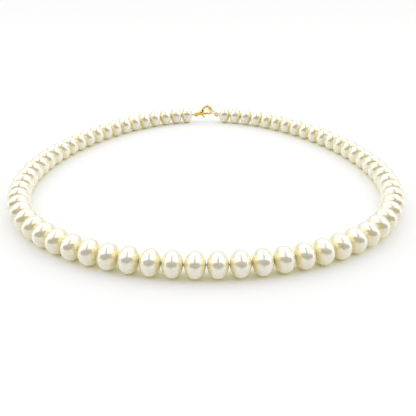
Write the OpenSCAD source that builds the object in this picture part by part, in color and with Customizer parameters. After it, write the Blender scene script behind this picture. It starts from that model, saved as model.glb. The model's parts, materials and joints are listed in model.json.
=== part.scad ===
// Pearl necklace: seventy drilled button pearls on one thread, closed at the back
// by wire-covered thread loops, a lobster clasp and an end ring.
// It lies flat as a closed loop. Millimetres, +Z up, the front towards -Y.
// The origin is on the resting surface, at the middle of the loop's box.

/* [Pearls] */
// Diameter of a pearl across its drill hole
pearl_d = 8; // [7.6:0.1:8.4]
// Length of a pearl along its drill hole
pearl_len = 6.15; // [6:0.05:6.2]
// Distance from one pearl to the next along the thread
pearl_pitch = 6.25; // [6.25:0.01:6.3]
// Diameter of the drill hole
drill_d = 0.8; // [0.7:0.05:1]
// Diameter of the thread
thread_d = 0.44; // [0.36:0.02:0.44]

/* [Loop] */
// Half width of the loop
loop_half_w = 69.2; // [66:0.1:72]
// Half depth of the loop
loop_half_l = 74.5; // [73:0.1:76]
// How much wider the front half is than the back half
front_bulge = 1.8; // [0:0.1:3]
// How much flatter the front is than the back
front_flat = 4; // [2:0.1:5]

/* [Clasp] */
// Angle at which the clasp stands up from its eye
clasp_tilt = 18; // [14:1:22]
// Thickness of the clasp body
clasp_t = 2.4; // [2.2:0.1:2.6]
// Centre-line radius of the hook
hook_r = 2.3; // [2.28:0.01:2.34]
// Radius of the hook's round section
hook_wire_r = 0.6; // [0.56:0.01:0.61]
// Thickness of the trigger lever
trigger_t = 0.8; // [0.7:0.05:0.8]
// Diameter of the pivot pin
pin_d = 0.6; // [0.5:0.05:0.7]

/* [End loops and ring] */
// Outer diameter of the wire cover on the thread loops
gimp_d = 0.66; // [0.64:0.01:0.7]
// Centre-line radius of the wire-covered loops
gimp_r = 0.95; // [0.92:0.01:1]
// Wire diameter of the end ring
ring_wire_d = 0.7; // [0.6:0.05:0.7]

/* [Hidden] */
$fn = 48;
PER_SIDE = 35;
FRONT_PER_SIDE = 3;
// pearls in each flexing length of one side, counted from the front
GROUPS = [3, 3, 3, 2, 2, 2, 2, 3, 4, 4, 4];
SIDES = [["right", 1], ["left", -1]];

NACRE = [0.95, 0.94, 0.9];
SILK = [0.97, 0.97, 0.95];
GOLD = [0.93, 0.76, 0.36];
STEEL = [0.7, 0.71, 0.73];

// ---- the closed curve and the thread's corners on it ----

// Point of the loop: angle 0 is the front, 180 the back
function loop_pt(a) = [
    loop_half_w * sin(a) + front_bulge * sin(2 * a),
    -loop_half_l * cos(a) + front_flat * cos(2 * a)
];

// Angle of the point one pearl pitch further on, found by closing in on it
function step_on(a, da, tries) = tries == 0
    ? a + da
    : step_on(a, da * pearl_pitch / norm(loop_pt(a + da) - loop_pt(a)), tries - 1);

// Middle of each gap between pearls on the right side, from the front
gap_angles = [for (i = 0, a = 0; i <= PER_SIDE; a = step_on(a, 5, 6), i = i + 1) a];
gaps = [for (a = gap_angles) loop_pt(a)];

function gap(side, i) = [side * gaps[i].x, gaps[i].y];
function pearl_mid(side, i) = (gap(side, i - 1) + gap(side, i)) / 2;
function heading(side, i) = let (d = gap(side, i) - gap(side, i - 1)) atan2(d.y, d.x);

// How far a pearl reaches along Y from its middle
function reach_y(i) = norm([pearl_len / 2 * sin(heading(1, i)), pearl_d / 2 * cos(heading(1, i))]);
front_y = min([for (i = [1:PER_SIDE]) pearl_mid(1, i).y - reach_y(i)]);
back_y = max([for (i = [1:PER_SIDE]) pearl_mid(1, i).y + reach_y(i)]);
mid_y = (front_y + back_y) / 2;
strand_z = pearl_d / 2;

// First pearl of a group, where group 0 is the front one
function sum_to(g) = g == 0 ? FRONT_PER_SIDE : sum_to(g - 1) + GROUPS[g - 1];
function first(g) = sum_to(g - 1) + 1;
function last(g) = sum_to(g);

// ---- the clasp's own flat frame: its eye at 0, 0 and its length along X ----
end_x = gaps[PER_SIDE].x;
end_tilt = 180 - heading(1, PER_SIDE);
loop_out = gimp_r + gimp_d / 2 + 0.05;
clasp_y = gaps[PER_SIDE].y + loop_out * sin(end_tilt) - mid_y;
eye_r = 0.9;
eye_wire_r = 0.35;
eye = [-end_x + (loop_out + gimp_r) * cos(end_tilt), strand_z];
hook_mid = [6.35, 0.25];
hook_from = -80;
hook_to = 165;
pivot = [2.5, -0.1];
slot_w = trigger_t + 0.4;
tip_angle = -18;
tip_reach = 3.85;
tip_w = 0.42;
nub = [3.6, -2.6];
ring_in_hook = [7.33, 0.8];

// A place in the clasp's flat frame, as x and z of the whole part
function stood(p) = [
    eye.x + p.x * cos(clasp_tilt) - p.y * sin(clasp_tilt),
    eye.y + p.x * sin(clasp_tilt) + p.y * cos(clasp_tilt)
];
ring_near = stood(ring_in_hook);
ring_far = [end_x - loop_out * cos(end_tilt), strand_z];
ring_r = norm(ring_far - ring_near) / 2;
ring_mid = (ring_far + ring_near) / 2;
ring_tilt = atan2(ring_near.y - ring_far.y, ring_far.x - ring_near.x);

module stand_up() {
    translate([eye.x, clasp_y, eye.y]) rotate([0, -clasp_tilt, 0]) rotate([90, 0, 0]) children();
}

module ring(r, wire_r) {
    rotate_extrude() translate([r, 0]) circle(wire_r, $fn = 32);
}

// ---- the strand ----

module pearl() {
    rotate_extrude() intersection() {
        scale([1, pearl_len / pearl_d]) circle(d = pearl_d, $fn = 96);
        translate([drill_d / 2, -pearl_len]) square([pearl_d, 2 * pearl_len]);
    }
}

module place(side, i) {
    p = pearl_mid(side, i);
    translate([p.x, p.y - mid_y, strand_z]) rotate([0, 0, heading(side, i)]) rotate([0, 90, 0]) children();
}

module pearls(side, from, to) {
    color(NACRE) for (i = [from:to]) place(side, i) pearl();
}

// Thread through pearls from .. to: an eight-sided tube with a ring of corners at
// each bend, stopping just short of the next group's thread
module thread(side, from, to) {
    spare = 0.03;
    start = heading(side, from);
    stop = heading(side, to);
    route = [for (i = [from - 1:to]) gap(side, i)
        + (i == from - 1 ? spare * [cos(start), sin(start)] : [0, 0])
        - (i == to ? spare * [cos(stop), sin(stop)] : [0, 0])];
    facing = [for (i = [from - 1:to])
        (heading(side, max(i, from)) + heading(side, min(i + 1, to))) / 2];
    tube(route, facing);
}

// Tube of thread through a row of points, each ring square to its own facing angle
module tube(route, facing) {
    sides = 8;
    n = len(route);
    corners = [for (k = [0:n - 1], j = [0:sides - 1])
        let (a = 360 * j / sides, r = thread_d / 2)
        [route[k].x - r * cos(a) * sin(facing[k]),
         route[k].y - mid_y + r * cos(a) * cos(facing[k]),
         strand_z + r * sin(a)]];
    walls = [for (k = [0:n - 2], j = [0:sides - 1])
        let (j2 = (j + 1) % sides)
        [k * sides + j, (k + 1) * sides + j, (k + 1) * sides + j2, k * sides + j2]];
    polyhedron(corners, concat(
        [[for (j = [0:sides - 1]) j]],
        walls,
        [[for (j = [sides - 1:-1:0]) (n - 1) * sides + j]]
    ));
}

// Where the thread leaves a last pearl, turned to face away from it
module at_end(side) {
    translate([side * end_x, gaps[PER_SIDE].y - mid_y, strand_z])
        rotate([0, 0, side > 0 ? 180 - end_tilt : end_tilt]) children();
}

// The ends' loops: the left one lies flat, the right one stands up
module end_loop(side, wire_r) {
    at_end(side) translate([loop_out, 0, 0]) rotate([side > 0 ? 90 : 0, 0, 0]) ring(gimp_r, wire_r);
}

module group_thread(side, g) {
    color(SILK) {
        thread(side, first(g), last(g));
        if (g == len(GROUPS)) {
            end_loop(side, thread_d / 2 - 0.05);
            at_end(side) rotate([0, 90, 0]) cylinder(d = thread_d - 0.14, h = loop_out - gimp_r, $fn = 32);
        }
    }
}

// The front length runs through the pearls on both sides of the middle
module thread_front() {
    spare = 0.03;
    n = FRONT_PER_SIDE;
    out = heading(1, n);
    stop = gap(1, n) - spare * [cos(out), sin(out)];
    right = [for (i = [0:n]) i == n ? stop : gap(1, i)];
    right_facing = [for (i = [0:n]) i == 0 ? 0 : (heading(1, i) + heading(1, min(i + 1, n))) / 2];
    route = concat([for (i = [n:-1:1]) [-right[i].x, right[i].y]], right);
    facing = concat([for (i = [n:-1:1]) -right_facing[i]], right_facing);
    color(SILK) tube(route, facing);
}

module pearls_front() {
    for (s = [1, -1]) pearls(s, 1, FRONT_PER_SIDE);
}

// ---- the ends and the clasp ----

// Fine coiled wire over the thread's loop, as a tube with a short neck in the pearl
module gimp(side) {
    loop_bore_d = thread_d - 0.02;
    color(GOLD) difference() {
        union() {
            end_loop(side, gimp_d / 2);
            at_end(side) translate([-0.8, 0, 0]) rotate([0, 90, 0])
                cylinder(d = drill_d - 0.06, h = 0.8 + loop_out - gimp_r, $fn = 32);
        }
        end_loop(side, loop_bore_d / 2);
        at_end(side) translate([-2, 0, 0]) rotate([0, 90, 0])
            cylinder(d = thread_d + 0.04, h = 2 + loop_out - gimp_r, $fn = 32);
    }
}

module clasp_outline() {
    hull() {
        translate([1.25, 0]) circle(0.66);
        translate([2.75, 0.1]) circle(1.25);
        translate([3.5, 0.6]) circle(1.15);
    }
}

module clasp_body() {
    color(GOLD) stand_up() difference() {
        union() {
            ring(eye_r, eye_wire_r);
            translate([0, 0, -clasp_t / 2]) linear_extrude(clasp_t) clasp_outline();
            translate(hook_mid) rotate([0, 0, hook_from])
                rotate_extrude(angle = hook_to - hook_from) translate([hook_r, 0]) circle(hook_wire_r, $fn = 32);
        }
        // slot for the trigger and its spring, open towards the nub side
        translate([1.4, -3, -slot_w / 2]) cube([3.35, 3.75, slot_w]);
        translate([pivot.x, pivot.y, -clasp_t]) cylinder(d = pin_d + 0.04, h = 2 * clasp_t);
    }
}

module clasp_trigger() {
    tip = [pivot.x + tip_reach * cos(tip_angle), pivot.y + tip_reach * sin(tip_angle)];
    color(GOLD) stand_up() translate([0, 0, -trigger_t / 2]) difference() {
        linear_extrude(trigger_t) {
            hull() { translate(pivot) circle(0.66); translate(tip) circle(tip_w); }
            hull() { translate(pivot) circle(0.5); translate(nub) circle(0.42); }
        }
        translate([pivot.x, pivot.y, -1]) cylinder(d = pin_d + 0.06, h = 3);
    }
}

module clasp_pin() {
    color(GOLD) stand_up() translate([pivot.x, pivot.y, -clasp_t / 2]) cylinder(d = pin_d, h = clasp_t);
}

// Spring beside the trigger's hub, as one plain ring of wire round the pin
module clasp_spring() {
    wire_r = 0.08;
    color(STEEL) stand_up() {
        translate([pivot.x, pivot.y, trigger_t / 2 + 0.09]) ring(pin_d / 2 + 0.12, wire_r);
    }
}

module end_ring() {
    color(GOLD) translate([ring_mid.x, clasp_y, ring_mid.y]) rotate([0, ring_tilt, 0]) ring(ring_r, ring_wire_d / 2);
}

pearls_front();
thread_front();
for (s = SIDES, g = [1:len(GROUPS)]) {
    pearls(s[1], first(g), last(g));
    group_thread(s[1], g);
}
gimp(-1);  // gimp_left
gimp(1);  // gimp_right
clasp_body();
clasp_trigger();
clasp_pin();
clasp_spring();
end_ring();
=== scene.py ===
"""A pearl necklace lying closed on a pale table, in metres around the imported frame.

Seventy button pearls are threaded in two equal halves from the front middle; wire-covered
thread loops, a lobster clasp and a jump ring close the strand at the back.
"""
import json
import math

import bpy
import numpy as np
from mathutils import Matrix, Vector


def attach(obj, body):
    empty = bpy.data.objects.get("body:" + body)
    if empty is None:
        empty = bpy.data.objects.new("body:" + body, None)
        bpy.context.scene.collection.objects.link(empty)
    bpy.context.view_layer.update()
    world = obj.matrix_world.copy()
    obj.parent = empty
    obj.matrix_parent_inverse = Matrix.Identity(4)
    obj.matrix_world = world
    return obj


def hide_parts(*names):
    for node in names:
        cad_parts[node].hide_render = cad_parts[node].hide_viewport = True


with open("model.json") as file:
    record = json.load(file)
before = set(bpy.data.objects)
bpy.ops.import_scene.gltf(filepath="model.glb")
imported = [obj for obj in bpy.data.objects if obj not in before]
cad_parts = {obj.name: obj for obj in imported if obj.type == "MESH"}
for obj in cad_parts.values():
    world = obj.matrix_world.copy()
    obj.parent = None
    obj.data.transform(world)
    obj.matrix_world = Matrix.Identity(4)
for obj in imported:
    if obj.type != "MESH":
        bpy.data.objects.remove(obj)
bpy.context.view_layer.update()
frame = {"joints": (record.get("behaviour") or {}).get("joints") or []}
joint_at = {j["name"]: np.array(j["pos_m"]) for j in frame["joints"]}
dice = np.random.default_rng(8)
MM = 0.001

# ---- driving sizes, in millimetres ----
HALF_WIDTH, HALF_DEPTH, FRONT_BULGE, FRONT_FLAT = 69.2, 74.5, 1.8, 4.0
PEARL_D, PEARL_LEN, PITCH, DRILL_R = 8.0, 6.15, 6.25, 0.4
PER_SIDE, FRONT_PER_SIDE = 35, 3
GROUPS = (3, 3, 3, 2, 2, 2, 2, 3, 4, 4, 4)
SIDES = {"right": 1, "left": -1}
SHOULDER = 0.02
THREAD_R = 0.21
CLASP_TILT = math.radians(18)
EYE_R, EYE_WIRE = 0.9, 0.35
HOOK_MID, HOOK_R = (6.35, 0.25), 2.3
LOOP_R, LOOP_TUBE = 0.95, 0.33
RING_WIRE = 0.35
LEVER_T, SLOT_W, CHEEK_T = 0.8, 1.2, 2.4

# ---- the studio's brightness ----
ROOF = (1.53, 1.54, 1.55)
BACK_WALL = (0.62, 0.64, 0.61)
OPEN_FRONT = (0.18, 0.12, 0.07)
SEAM = (0.06, 0.06, 0.05)
ROOF_SLOPE = 1.25
SOFTBOX_POWER = 0.35
TABLE_HALF = 6.0

# ---- the camera, in metres and radians ----
TILT = math.radians(27.04)
TURN = math.radians(-0.35)
DISTANCE = 0.16857
LENS = 40.74
AIM_BACK = -0.0316
TURN_ABOUT = -0.070
SIDE_SHIFT = 0.00043


# ---- camera and studio ----

def add_camera():
    """A view from the front, above the table, aimed at the front half and turned a little about
    the front pearls."""
    aim = Vector((SIDE_SHIFT - (AIM_BACK - TURN_ABOUT) * math.sin(TURN), AIM_BACK, 0))
    data = bpy.data.cameras.new("camera")
    data.lens = LENS
    data.clip_start, data.clip_end = 0.005, 50
    cam = bpy.data.objects.new("camera", data)
    bpy.context.scene.collection.objects.link(cam)
    flat = math.cos(TILT)
    back = Vector((math.sin(TURN) * flat, -math.cos(TURN) * flat, math.sin(TILT)))
    cam.location = aim + DISTANCE * back
    cam.rotation_mode = "QUATERNION"
    cam.rotation_quaternion = (-back).to_track_quat("-Z", "Y")
    bpy.context.scene.camera = cam


def area_light(name, place, size, power, colour=(1, 1, 1), aim=(0, 0, 0)):
    """A rectangular softbox at a place, turned to a point of the table."""
    data = bpy.data.lights.new(name, "AREA")
    data.shape = "RECTANGLE"
    data.size, data.size_y = size
    data.energy, data.color = power, colour
    lamp = bpy.data.objects.new(name, data)
    lamp.location = place
    lamp.rotation_mode = "QUATERNION"
    lamp.rotation_quaternion = (Vector(aim) - Vector(place)).to_track_quat("-Z", "Y")
    bpy.context.scene.collection.objects.link(lamp)


class Nodes:
    """Short ways to add and join the nodes of one material or world."""

    def __init__(self, tree):
        self.tree = tree
        tree.nodes.clear()

    def add(self, kind, inputs=None, **settings):
        node = self.tree.nodes.new(kind)
        for key, value in settings.items():
            setattr(node, key, value)
        for key, value in (inputs or {}).items():
            if isinstance(value, bpy.types.NodeSocket):
                self.tree.links.new(value, node.inputs[key])
            else:
                node.inputs[key].default_value = value
        return node

    def maths(self, operation, a, b=0.0, c=0.0):
        return self.add("ShaderNodeMath", {0: a, 1: b, 2: c}, operation=operation).outputs[0]

    def soft_step(self, value, off, on):
        """0 where the value is at off, 1 where it is at on, with a smooth way between."""
        node = self.add("ShaderNodeMapRange", {0: value, 1: off, 2: on}, interpolation_type="SMOOTHSTEP")
        return node.outputs[0]

    def ramp(self, factor, stops):
        node = self.add("ShaderNodeValToRGB", {0: factor})
        points = node.color_ramp.elements
        for extra in range(len(stops) - 2):
            points.new(0.5)
        for point, (place, colour) in zip(points, stops):
            point.position, point.color = place, (*colour, 1)
        return node.outputs[0]

    def mix(self, factor, a, b):
        node = self.add("ShaderNodeMix", {0: factor, 6: a, 7: b}, data_type="RGBA")
        return node.outputs[2]


def light_the_studio():
    """A white tent over the table: bright roof with a seam down its middle, duller back wall, and
    an open, darker front."""
    world = bpy.data.worlds.new("studio")
    bpy.context.scene.world = world
    world.use_nodes = True
    n = Nodes(world.node_tree)
    way = n.add("ShaderNodeTexCoord").outputs["Generated"]
    x, y, z = n.add("ShaderNodeSeparateXYZ", {0: way}).outputs
    across = n.maths("ABSOLUTE", x)
    front = n.soft_step(y, 0.02, -0.1)
    under_roof = n.maths("MULTIPLY_ADD", y, ROOF_SLOPE, z)
    low_down = n.soft_step(under_roof, 0.06, -0.06)
    between = n.soft_step(across, 1.01, 0.9)
    above_ground = n.soft_step(z, -0.02, 0.1)
    opening = n.maths("MULTIPLY", n.maths("MULTIPLY", front, low_down), between)
    opening = n.maths("MULTIPLY", opening, above_ground)
    back = n.maths("MULTIPLY", n.soft_step(y, 0.1, 0.5), n.soft_step(z, 0.62, 0.3))
    seam = n.maths("MULTIPLY", n.soft_step(across, 0.17, 0.09), n.soft_step(y, 0.6, 0.3))
    cloth = n.mix(back, (*ROOF, 1), (*BACK_WALL, 1))
    cloth = n.mix(seam, cloth, (*SEAM, 1))
    colour = n.mix(opening, cloth, (*OPEN_FRONT, 1))
    glow = n.add("ShaderNodeBackground", {0: colour, 1: 1.0})
    n.add("ShaderNodeOutputWorld", {0: glow.outputs[0]})
    for name, place in (("softbox_left", -0.3), ("softbox_right", 0.3)):
        area_light(name, (place, 0.08, 0.62), (0.5, 0.7), SOFTBOX_POWER)


def add_floor():
    """A large plain white acrylic table: a faint painted glow lifts its shadows, and where the strand covers
    it painted shade darkens it to yellow-olive, standing in for yellow light bounced from the pearls."""
    far = TABLE_HALF
    mesh = bpy.data.meshes.new("table_top")
    corners = [(-far, -far, 0), (far, -far, 0), (far, far, 0), (-far, far, 0)]
    mesh.from_pydata(corners, [], [(0, 1, 2, 3)])
    floor = bpy.data.objects.new("table_top", mesh)
    bpy.context.scene.collection.objects.link(floor)
    material = bpy.data.materials.new("white_acrylic_painted_shade")
    material.use_nodes = True
    n = Nodes(material.node_tree)
    open_sky = n.add("ShaderNodeAmbientOcclusion", {"Distance": 0.004}, samples=8).outputs["AO"]
    # painted shade: where the strand covers the table its colour turns darker and yellow-olive, a painted
    # bounce of the pearls' yellow light
    colour = n.ramp(open_sky, [(0.1, (0.66, 0.62, 0.34)), (0.6, (0.59, 0.59, 0.59))])
    # painted glow: the table's own emission lifts its shadows, dimmer and yellower where the strand covers
    # it
    glow = n.ramp(open_sky, [(0.1, (1, 0.94, 0.55)), (0.6, (1, 1, 1))])
    painted_glow_strength = n.maths("MULTIPLY", n.soft_step(open_sky, -0.2, 0.6), 0.3)
    acrylic = n.add("ShaderNodeBsdfPrincipled", {"Base Color": colour, "Roughness": 0.6,
                                                 "Emission Color": glow, "Emission Strength": painted_glow_strength})
    n.add("ShaderNodeOutputMaterial", {0: acrylic.outputs[0]})
    mesh.materials.append(material)


# ---- materials ----

def principled(name, build):
    """A new material whose shader settings come from build(nodes)."""
    material = bpy.data.materials.new(name)
    material.use_nodes = True
    n = Nodes(material.node_tree)
    shader = n.add("ShaderNodeBsdfPrincipled", build(n))
    n.add("ShaderNodeOutputMaterial", {0: shader.outputs[0]})
    return material


def nacre(n):
    """Cream nacre under a clear skin: soft cloudy tone, a painted bounce of yellow light towards the drill
    holes where neighbouring pearls face each other, a hair of growth ripple."""
    spot = n.add("ShaderNodeTexCoord").outputs["Object"]
    cloud = n.add("ShaderNodeTexNoise", {"Vector": spot, "Scale": 260.0, "Detail": 2.0}).outputs[0]
    tone = n.add("ShaderNodeAttribute", attribute_name="tone").outputs["Fac"]
    shade = n.maths("ADD", n.maths("MULTIPLY", cloud, 0.5), n.maths("MULTIPLY", tone, 0.5))
    body = n.ramp(shade, [(0.2, (0.92, 0.905, 0.75)), (0.5, (0.94, 0.93, 0.79)), (0.8, (0.96, 0.955, 0.84))])
    # painted reflection: the colour turns yellower towards the drill holes, standing in for light bounced
    # between neighbouring pearls
    near_hole = n.add("ShaderNodeAttribute", attribute_name="near_hole").outputs["Fac"]
    colour = n.mix(n.soft_step(near_hole, 0.3, 0.95), body, (0.96, 0.90, 0.58, 1))
    ripple = n.add("ShaderNodeTexNoise", {"Vector": spot, "Scale": 2400.0, "Detail": 3.0}).outputs[0]
    bump = n.add("ShaderNodeBump", {"Height": ripple, "Strength": 0.04, "Distance": 0.00002}).outputs[0]
    return {"Base Color": colour, "Metallic": 0.33, "Roughness": 0.18, "Normal": bump,
            "Coat Weight": 1.0, "Coat Roughness": 0.07, "Coat IOR": 1.8,
            "Thin Film Thickness": 330.0, "Thin Film IOR": 1.35}


def silk(n):
    """Off-white stringing silk with a fine fibre."""
    spot = n.add("ShaderNodeTexCoord").outputs["Object"]
    fibre = n.add("ShaderNodeTexNoise", {"Vector": spot, "Scale": 9000.0, "Detail": 4.0}).outputs[0]
    colour = n.ramp(fibre, [(0.3, (0.78, 0.76, 0.68)), (0.7, (0.93, 0.92, 0.87))])
    bump = n.add("ShaderNodeBump", {"Height": fibre, "Strength": 0.4, "Distance": 0.00002}).outputs[0]
    return {"Base Color": colour, "Roughness": 0.6, "Sheen Weight": 0.4, "Normal": bump}


def polished(bright, deep, roughness, rim=(1, 1, 1)):
    """A plated metal: fine polishing marks, a faint unevenness of tone, its own tint of glancing gloss."""
    def build(n):
        spot = n.add("ShaderNodeTexCoord").outputs["Object"]
        wear = n.add("ShaderNodeTexNoise", {"Vector": spot, "Scale": 900.0, "Detail": 3.0}).outputs[0]
        colour = n.ramp(wear, [(0.3, deep), (0.65, bright)])
        long_marks = n.add("ShaderNodeMapping", {0: spot, 3: (1800.0, 9000.0, 9000.0)}).outputs[0]
        marks = n.add("ShaderNodeTexNoise", {"Vector": long_marks, "Scale": 1.0, "Detail": 3.0}).outputs[0]
        rough = n.add("ShaderNodeMapRange", {0: marks, 3: roughness * 0.7, 4: roughness * 1.4}).outputs[0]
        bump = n.add("ShaderNodeBump", {"Height": marks, "Strength": 0.08, "Distance": 0.00001}).outputs[0]
        return {"Base Color": colour, "Metallic": 1.0, "Roughness": rough, "Normal": bump,
                "Specular Tint": (*rim, 1)}
    return build


MATERIALS = {
    "nacre": principled("nacre", nacre),
    "silk": principled("silk", silk),
    "gold": principled("gold_plate", polished((0.95, 0.70, 0.15), (0.80, 0.56, 0.08), 0.1,
                                              (0.3, 0.2, 0.02))),
    "pale_gold": principled("pale_gold_wire", polished((0.98, 0.86, 0.56), (0.9, 0.74, 0.42), 0.22)),
    "rose_gold": principled("rose_gold_plate", polished((0.98, 0.76, 0.56), (0.9, 0.64, 0.44), 0.14)),
    "steel": principled("spring_steel", polished((0.72, 0.72, 0.74), (0.55, 0.55, 0.58), 0.25)),
}


# ---- surfaces ----

def grid_piece(name, points, material, closed_u=True, closed_v=True, smooth=True):
    """A mesh of quads over a grid of points; an open v gets flat caps. Faces are turned outwards."""
    nu, nv = points.shape[:2]
    index = np.arange(nu * nv).reshape(nu, nv)
    rows = index if closed_u else index[:-1]
    beside = np.roll(index, -1, 0)[: len(rows)]
    a, b = rows, beside
    if not closed_v:
        a, b = a[:, :-1], b[:, :-1]
    c, d = np.roll(beside, -1, 1)[:, : a.shape[1]], np.roll(rows, -1, 1)[:, : a.shape[1]]
    faces = np.stack([a, b, c, d], -1).reshape(-1, 4).tolist()
    if not closed_v:
        faces += [index[::-1, 0].tolist(), index[:, -1].tolist()]
    corners = points.reshape(-1, 3) * MM
    quads = np.array(faces[: a.size])
    tri = corners[quads]
    turn = np.einsum("ij,ij->i", tri[:, 0], np.cross(tri[:, 1], tri[:, 2])).sum()
    turn += np.einsum("ij,ij->i", tri[:, 0], np.cross(tri[:, 2], tri[:, 3])).sum()
    if turn < 0:
        faces = [f[::-1] for f in faces]
    mesh = bpy.data.meshes.new(name)
    mesh.from_pydata(corners, [], faces)
    mesh.polygons.foreach_set("use_smooth", [smooth] * len(mesh.polygons))
    mesh.materials.append(material)
    piece = bpy.data.objects.new(name, mesh)
    bpy.context.scene.collection.objects.link(piece)
    return piece


def tangents(path, closed):
    """Unit tangent at each point: the next point less the last one, scaled to length 1."""
    ahead = np.roll(path, -1, 0) - np.roll(path, 1, 0)
    if not closed:
        ahead[0], ahead[-1] = path[1] - path[0], path[-1] - path[-2]
    ahead /= np.linalg.norm(ahead, axis=1)[:, None]
    return ahead


def tube_points(path, radius, sides, lead, closed=False, flat=1.0):
    """Points of a round tube: each ring lies across the path, its first axis square to lead.

    The ring's point j is path + radius * (cos(a) * out + flat * sin(a) * lead), where out is
    the tangent crossed with lead. radius and flat may change along the path.
    """
    ahead = tangents(path, closed)
    lead = np.broadcast_to(np.asarray(lead, float), path.shape)
    up = lead - np.einsum("ij,ij->i", lead, ahead)[:, None] * ahead
    up /= np.linalg.norm(up, axis=1)[:, None]
    out = np.cross(ahead, up)
    a = np.linspace(0, 2 * np.pi, sides, endpoint=False)
    r = np.broadcast_to(np.asarray(radius, float), (len(path),))[:, None, None]
    f = np.broadcast_to(np.asarray(flat, float), (len(path),))[:, None, None]
    ring = np.cos(a)[None, :, None] * out[:, None] + f * np.sin(a)[None, :, None] * up[:, None]
    return path[:, None] + r * ring


def finish_piece(piece, body, slot, *nodes):
    """The piece rides on a body and stands for CAD nodes, which it hides; the slot is not used."""
    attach(piece, body)
    if nodes:
        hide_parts(*nodes)


# ---- the strand ----

def loop_point(angle):
    """A point of the loop in millimetres; angle 0 is the front middle and pi the clasp.

    x = HALF_WIDTH sin(t) + FRONT_BULGE sin(2t), y = -HALF_DEPTH cos(t) + FRONT_FLAT cos(2t).
    """
    return np.array([
        HALF_WIDTH * math.sin(angle) + FRONT_BULGE * math.sin(2 * angle),
        -HALF_DEPTH * math.cos(angle) + FRONT_FLAT * math.cos(2 * angle),
    ])


def gap_middles():
    """Middle of each gap between pearls on the right side, one pitch apart, from the front."""
    angle, found = 0.0, [loop_point(0.0)]
    for _ in range(PER_SIDE):
        step = 0.09
        for _ in range(6):
            step *= PITCH / np.linalg.norm(loop_point(angle + step) - loop_point(angle))
        angle += step
        found.append(loop_point(angle))
    found = np.array(found)
    found[:, 1] += joint_at["bend_right_1"][1] / MM - found[FRONT_PER_SIDE, 1]
    return np.column_stack([found, np.full(len(found), PEARL_D / 2)])


GAPS = gap_middles()


def side_gaps(side):
    return GAPS * np.array([SIDES[side], 1, 1])


def pearl_profile():
    """Closed half outline of a pearl as (distance from the hole's axis, place along it).

    The outside is the oval (D/2 sin(a), L/2 cos(a)), its distance stretched by
    1 + SHOULDER sin(2a)^2; a small round leads into the drill hole.
    """
    rim = DRILL_R + 0.09
    start = math.asin(rim / (PEARL_D / 2))
    a = np.linspace(start, np.pi - start, 34)
    outside = np.column_stack([PEARL_D / 2 * np.sin(a), PEARL_LEN / 2 * np.cos(a)])
    outside[:, 0] *= 1 + SHOULDER * np.sin(2 * a) ** 2
    top = outside[0, 1]
    into = np.array([[DRILL_R + 0.02, top - 0.015], [DRILL_R, top - 0.08], [DRILL_R, top * 0.4]])
    return np.concatenate([outside, into * [1, -1], into[::-1]])


def pearl_points(middle, heading):
    """The outline turned about the drill hole by a, swollen by small cos(2a) and cos(3a) terms of
    its own, set on the strand."""
    outline = pearl_profile()
    sides = 60
    a = np.linspace(0, 2 * np.pi, sides, endpoint=False)
    size = 1 - abs(dice.normal(0, 0.0018)) - 0.001
    phase = dice.uniform(0, 2 * np.pi, 3)
    swell = 0.0022 * np.cos(2 * a + phase[0]) + 0.0012 * np.cos(3 * a + phase[1]) - 0.0034
    worn = np.clip(outline[:, 0] / (PEARL_D / 2), 0, 1)[:, None] ** 2
    out = outline[:, :1] * np.where(outline[:, :1] > DRILL_R * 1.3, size, 1) * (1 + worn * swell)
    along = outline[:, 1:] * size * (1 + 0.0015 * np.cos(a + phase[2]) * worn)
    ahead = np.array([math.cos(heading), math.sin(heading), 0])
    beside = np.array([-math.sin(heading), math.cos(heading), 0])
    up = np.array([0, 0, 1])
    return (middle + along[..., None] * ahead
            + (out * np.cos(a))[..., None] * beside + (out * np.sin(a))[..., None] * up)


def string_pearls(side, first, last, body, node):
    """One piece for each pearl of a group, numbered from the front of its side."""
    gaps = side_gaps(side)
    for i in range(first, last + 1):
        step = gaps[i] - gaps[i - 1]
        points = pearl_points((gaps[i] + gaps[i - 1]) / 2, math.atan2(step[1], step[0]))
        piece = grid_piece(f"pearl_{side}_{i:02d}", points, MATERIALS["nacre"])
        tone = piece.data.attributes.new("tone", "FLOAT", "POINT")
        tone.data.foreach_set("value", np.full(len(piece.data.vertices), dice.uniform(0.35, 0.65)))
        # near_hole masks the painted bounce light between neighbouring pearls in the nacre
        near_hole = piece.data.attributes.new("near_hole", "FLOAT", "POINT")
        along = np.abs(pearl_profile()[:, 1]) / (PEARL_LEN / 2)
        near_hole.data.foreach_set("value", np.repeat(along, len(piece.data.vertices) // len(along)))
        finish_piece(piece, body, "nacre", node)


def thread_piece(name, corners, body, node):
    """Three plies laid round each other along the thread's corners.

    Ply k runs at THREAD_R / 2 from the middle, turned by a third of a turn from the last,
    one whole twist to each pearl.
    """
    steps = 12
    t = np.linspace(0, len(corners) - 1, steps * (len(corners) - 1) + 1)
    middle = np.column_stack([np.interp(t, np.arange(len(corners)), corners[:, k]) for k in range(3)])
    ahead = tangents(middle, False)
    up = np.array([0, 0, 1.0])
    out = np.cross(ahead, up)
    plies = []
    for k in range(3):
        turn = 2 * np.pi * (2 * t + k / 3)
        path = middle + THREAD_R / 2 * (np.cos(turn)[:, None] * out + np.sin(turn)[:, None] * up)
        plies.append(tube_points(path, THREAD_R / 2, 6, up))
    make_joined(name, plies, MATERIALS["silk"], body, "thread", node)


def make_joined(name, tubes, material, body, slot, *nodes):
    """One or several open tubes as one piece."""
    parts = [grid_piece(f"{name}_{k}", np.swapaxes(p, 0, 1), material, True, False)
             for k, p in enumerate(tubes)]
    if len(parts) > 1:
        with bpy.context.temp_override(active_object=parts[0], selected_editable_objects=parts):
            bpy.ops.object.join()
    parts[0].name = parts[0].data.name = name
    finish_piece(parts[0], body, slot, *nodes)


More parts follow.
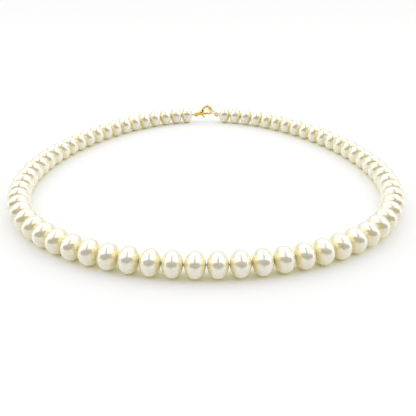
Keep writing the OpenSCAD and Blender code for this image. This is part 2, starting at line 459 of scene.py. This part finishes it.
def make_strand():
    """Pearls and thread of the front group, then of each group out to both ends."""
    for side in SIDES:
        string_pearls(side, 1, FRONT_PER_SIDE, "front", "pearls_front")
    right = side_gaps("right")[: FRONT_PER_SIDE + 1]
    left = side_gaps("left")[FRONT_PER_SIDE:0:-1]
    thread_piece("silk_front", np.concatenate([left, right]), "front", "thread_front")
    for side in SIDES:
        last = FRONT_PER_SIDE
        for number, count in enumerate(GROUPS, 1):
            first, last = last + 1, last + count
            body = f"{side}_{number}"
            string_pearls(side, first, last, body, f"pearls_{body}")
            thread_piece(f"silk_{body}", side_gaps(side)[first - 1:last + 1], body, f"thread_{body}")


# ---- the ends: wire-covered loops ----

END = GAPS[PER_SIDE]
END_STEP = GAPS[PER_SIDE] - GAPS[PER_SIDE - 1]
END_TILT = math.pi - math.atan2(END_STEP[1], END_STEP[0])
LOOP_OUT = LOOP_R + LOOP_TUBE + 0.05
COVER_SPAN, CORE_SPAN = math.radians(163), math.radians(172)


def end_frame(side):
    """Origin and axes where the thread leaves a last pearl: out of it, beside it, up."""
    s = SIDES[side]
    out = np.array([-s * math.cos(END_TILT), math.sin(END_TILT), 0])
    up = np.array([0, 0, 1.0])
    return END * np.array([s, 1, 1]), out, np.cross(up, out), up


def coil_points(path, lead, turns, coil_r, wire_r, closed):
    """A fine wire wound round a path: path + coil_r * (cos(t) * out + sin(t) * up), t running
    through the given turns."""
    ahead = tangents(path, closed)
    up = np.broadcast_to(np.asarray(lead, float), path.shape)
    up = up - np.einsum("ij,ij->i", up, ahead)[:, None] * ahead
    up /= np.linalg.norm(up, axis=1)[:, None]
    out = np.cross(ahead, up)
    t = np.linspace(0, 2 * np.pi * turns, len(path))
    wound = path + coil_r * (np.cos(t)[:, None] * out + np.sin(t)[:, None] * up)
    return tube_points(wound, wire_r, 6, lead)


def make_end_loop(side):
    """French wire wound over the thread's loop, and a short neck of it in the last pearl's hole."""
    origin, out, beside, up = end_frame(side)
    across = up if side == "right" else beside
    lead = np.cross(out, across)
    wire_r = 0.06
    coil_r = LOOP_TUBE - wire_r
    turns = 2 * np.pi * LOOP_R / (2.1 * wire_r)
    a = np.linspace(-COVER_SPAN, COVER_SPAN, int(turns * 12))
    middle = origin + LOOP_OUT * out
    round_loop = middle + LOOP_R * (np.cos(a)[:, None] * out + np.sin(a)[:, None] * across)
    loop = coil_points(round_loop, lead, turns * COVER_SPAN / np.pi, coil_r, wire_r, False)
    reach = np.linspace(-0.5, LOOP_OUT - LOOP_R - 0.1, 72)
    neck = coil_points(origin + reach[:, None] * out, lead, 6, 0.3, wire_r, False)
    make_joined(f"wire_cover_{side}", [loop, neck], MATERIALS["pale_gold"], f"{side}_11", "wire_cover",
                f"gimp_{side}")
    a = np.linspace(-CORE_SPAN, CORE_SPAN, 80)
    core = middle + LOOP_R * (np.cos(a)[:, None] * out + np.sin(a)[:, None] * across)
    make_joined(f"silk_loop_{side}", [tube_points(core, 0.17, 10, lead)], MATERIALS["silk"], f"{side}_11",
                "thread", f"thread_{side}_11")


# ---- the clasp ----

EYE = joint_at["clasp_tip_over"] / MM


def stood(points):
    """Points of the clasp's flat frame (along, up, thickness towards the front) in the part's frame."""
    p = np.asarray(points, float)
    c, s = math.cos(CLASP_TILT), math.sin(CLASP_TILT)
    return EYE + np.stack([p[..., 0] * c - p[..., 1] * s, -p[..., 2], p[..., 0] * s + p[..., 1] * c], -1)


def smooth_line(corners, count):
    """A Catmull-Rom curve through corners; each row may carry sizes after its place."""
    c = np.asarray(corners, float)
    c = np.concatenate([2 * c[:1] - c[1:2], c, 2 * c[-1:] - c[-2:-1]])
    t = np.linspace(0, len(c) - 3 - 1e-9, count)
    k = t.astype(int)
    u = (t - k)[:, None]
    p0, p1, p2, p3 = c[k], c[k + 1], c[k + 2], c[k + 3]
    return 0.5 * (2 * p1 + (p2 - p0) * u + (2 * p0 - 5 * p1 + 4 * p2 - p3) * u**2
                  + (3 * p1 - p0 - 3 * p2 + p3) * u**3)


def rounded_ends(radius, spread):
    """Scales a tube's radii down to nothing at both ends along quarter circles."""
    n = len(radius)
    k = np.arange(n)
    from_end = np.minimum(k, n - 1 - k) / spread
    return radius * np.sqrt(np.clip(1 - (1 - np.clip(from_end, 0.02, 1)) ** 2, 0, 1))


def limb(name, corners, count, material, sides=28, ends=5):
    """A limb of the clasp along corners of (along, up, half width, half thickness), its ends round."""
    line = smooth_line(corners, count)
    path = np.column_stack([line[:, :2], np.zeros(count)])
    width = rounded_ends(line[:, 2], ends)
    flat = line[:, 3] / line[:, 2]
    points = tube_points(path, width, sides, (0, 0, 1), flat=flat)
    return grid_piece(name, np.swapaxes(stood(points), 0, 1), material, True, False)


def torus_piece(name, middle, radius, wire, material, axis_a, axis_b, gap=0.0):
    """A ring of round wire about a middle in the plane of two axes, cut by a gap in radians."""
    a = np.linspace(gap / 2, 2 * np.pi - gap / 2, 96, endpoint=gap > 0)
    path = middle + radius * (np.cos(a)[:, None] * axis_a + np.sin(a)[:, None] * axis_b)
    points = tube_points(path, wire, 24, np.cross(axis_a, axis_b), closed=gap == 0)
    return grid_piece(name, np.swapaxes(points, 0, 1), material, True, gap == 0)


def boolean(piece, tool, operation):
    """The piece united with a tool or cut by it; the tool is used up."""
    mod = piece.modifiers.new("cut", "BOOLEAN")
    mod.operation, mod.object, mod.solver = operation, tool, "EXACT"
    with bpy.context.temp_override(object=piece, active_object=piece):
        bpy.ops.object.modifier_apply(modifier=mod.name)
    bpy.data.objects.remove(tool)


def block(name, low, high):
    """A box of the clasp's flat frame, used as a cutter."""
    low, high = np.array(low), np.array(high)
    pick = np.array([[0, 0], [1, 0], [1, 1], [0, 1]])
    ring = np.array([[np.where(p, high[:2], low[:2])[k] for k in (0, 1)] for p in pick])
    points = np.stack([np.column_stack([ring, np.full(4, z)]) for z in (low[2], high[2])], 1)
    return grid_piece(name, stood(points), MATERIALS["gold"], True, False, smooth=False)


PIVOT = (2.5, -0.1)
LEVER_REACH, LEVER_SLOPE = 4.5, math.radians(-18)


def make_clasp():
    """Claw with its eye, slot and hook; lever with its nub; pin with domed heads; torsion spring."""
    gold = MATERIALS["gold"]
    hook_turns = np.radians([150, 120, 90, 60, 30, 0, -30, -58, -80])
    hook_wire = (0.74, 0.65, 0.61, 0.6, 0.6, 0.6, 0.59, 0.56, 0.5)
    hook = [[HOOK_MID[0] + HOOK_R * math.cos(a), HOOK_MID[1] + HOOK_R * math.sin(a), w, w]
            for a, w in zip(hook_turns, hook_wire)]
    claw = limb("clasp_claw", [[0.8, 0.0, 0.5, 0.52], [1.5, 0.02, 0.9, 0.95], [2.3, 0.05, 1.2, 1.18],
                               [3.05, 0.12, 1.24, 1.19], [3.72, 0.5, 1.0, 1.02]] + hook, 120, gold)
    eye = torus_piece("eye", stood((0, 0, 0)), EYE_R, EYE_WIRE, gold,
                      stood((1, 0, 0)) - stood((0, 0, 0)), stood((0, 1, 0)) - stood((0, 0, 0)))
    boolean(claw, eye, "UNION")
    boolean(claw, block("slot", (1.4, -3.0, -SLOT_W / 2), (5.3, 0.75, SLOT_W / 2)), "DIFFERENCE")
    finish_piece(claw, "clasp", "gold", "clasp_body")
    tip = (PIVOT[0] + LEVER_REACH * math.cos(LEVER_SLOPE), PIVOT[1] + LEVER_REACH * math.sin(LEVER_SLOPE))
    half = LEVER_T / 2
    lever = limb("clasp_lever", [[2.0, 0.06, 0.5, half * 0.9], [*PIVOT, 0.64, half],
                                 [3.6, -0.58, 0.58, half], [4.9, -1.08, 0.52, half],
                                 [*tip, 0.44, half]], 96, gold, ends=7)
    nub = limb("nub", [[2.6, -0.3, 0.5, half * 0.9], [2.95, -1.1, 0.47, half], [3.3, -1.9, 0.44, half],
                       [3.72, -2.98, 0.42, half]], 48, gold, ends=6)
    boolean(lever, nub, "UNION")
    finish_piece(lever, "trigger", "gold", "clasp_trigger")
    make_pin()
    make_spring()


def make_pin():
    """A rivet across the cheeks: a round shank with a low dome at each end."""
    radius, dome = 0.3, 0.05
    a = np.linspace(0, np.pi / 2, 6)
    end = np.column_stack([radius * np.sin(a), CHEEK_T / 2 - dome + dome * np.cos(a)])
    outline = np.concatenate([end, end[::-1] * [1, -1]])
    turn = np.linspace(0, 2 * np.pi, 32, endpoint=False)
    outline[0, 0] = outline[-1, 0] = 0.01
    points = np.stack([PIVOT[0] + outline[:, :1] * np.cos(turn), PIVOT[1] + outline[:, :1] * np.sin(turn),
                       np.broadcast_to(outline[:, 1:], (len(outline), 32))], -1)
    pin = grid_piece("clasp_pin_rivet", np.swapaxes(stood(points), 0, 1), MATERIALS["gold"], True, False)
    finish_piece(pin, "clasp", "gold", "clasp_pin")


def make_spring():
    """One flat turn of wire round the pin, a leg along the lever and a leg up into the claw."""
    z = LEVER_T / 2 + 0.1
    a = np.linspace(math.radians(-160), math.radians(120), 40)
    turn = np.column_stack([PIVOT[0] + 0.42 * np.cos(a), PIVOT[1] + 0.42 * np.sin(a), np.full(40, z)])
    leg_down = np.array([[3.3, -0.85, z], [2.8, -0.72, z]])
    leg_up = np.array([[1.75, 0.6, z]])
    path = stood(np.concatenate([leg_down, turn, leg_up]))
    lead = stood((0, 0, 1)) - stood((0, 0, 0))
    make_joined("clasp_torsion_spring", [tube_points(path, 0.075, 10, lead)], MATERIALS["steel"],
                "clasp", "spring_steel", "clasp_spring")


def make_end_ring():
    """A butt-closed jump ring through the hook and the right loop."""
    near = stood((7.33, 0.8, 0))
    far = joint_at["ring_tip_over"] / MM
    middle = (near + far) / 2
    along = (far - near) / np.linalg.norm(far - near)
    ring = torus_piece("end_ring_wire", middle, np.linalg.norm(far - near) / 2, RING_WIRE,
                       MATERIALS["rose_gold"], np.array([0, -1.0, 0]), along, gap=0.012)
    finish_piece(ring, "end_ring", "ring_gold", "end_ring")


add_camera()
light_the_studio()
add_floor()
make_strand()
for end_side in SIDES:
    make_end_loop(end_side)
make_clasp()
make_end_ring()

bpy.context.scene.view_settings.view_transform = "Standard"
